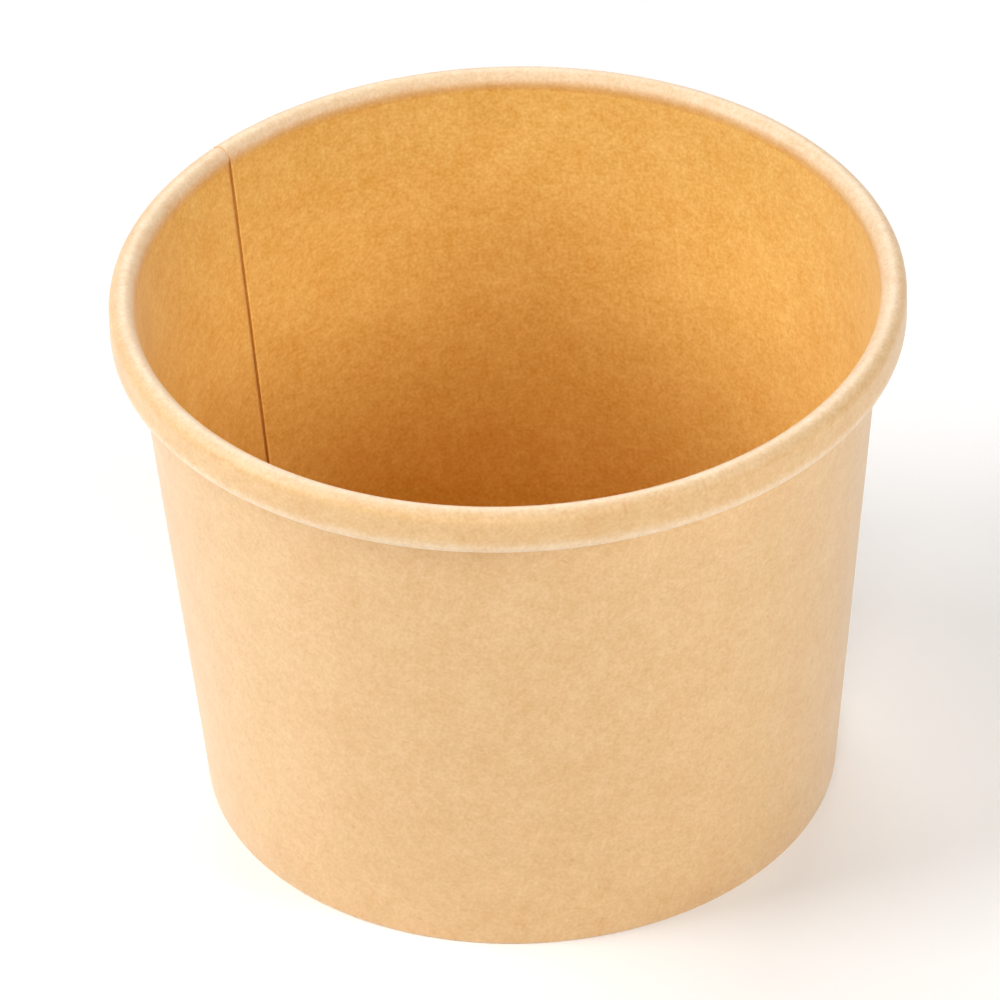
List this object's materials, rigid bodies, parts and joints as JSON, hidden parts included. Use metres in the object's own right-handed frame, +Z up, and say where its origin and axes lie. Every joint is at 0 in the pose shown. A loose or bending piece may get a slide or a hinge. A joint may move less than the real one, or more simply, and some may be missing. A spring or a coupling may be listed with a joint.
{
  "type": "paper ice cream tub",
  "caption": "Round tapered kraft paper tub with a rolled rim, a lapped side seam and a base raised inside the foot, open at the top to hold ice cream.",
  "frame": {"origin": "centre of the foot, on the plane that the tub stands on", "axes": "+Z up along the tub's axis, +Y towards the inner cut edge of the side seam at the back"},
  "size_m": [0.098, 0.098, 0.0722],
  "materials": {
    "kraft_board": "matte"
  },
  "bodies": {
    "root": {"side_wall": "kraft_board", "base_disc": "kraft_board"}
  },
  "joints": []
}
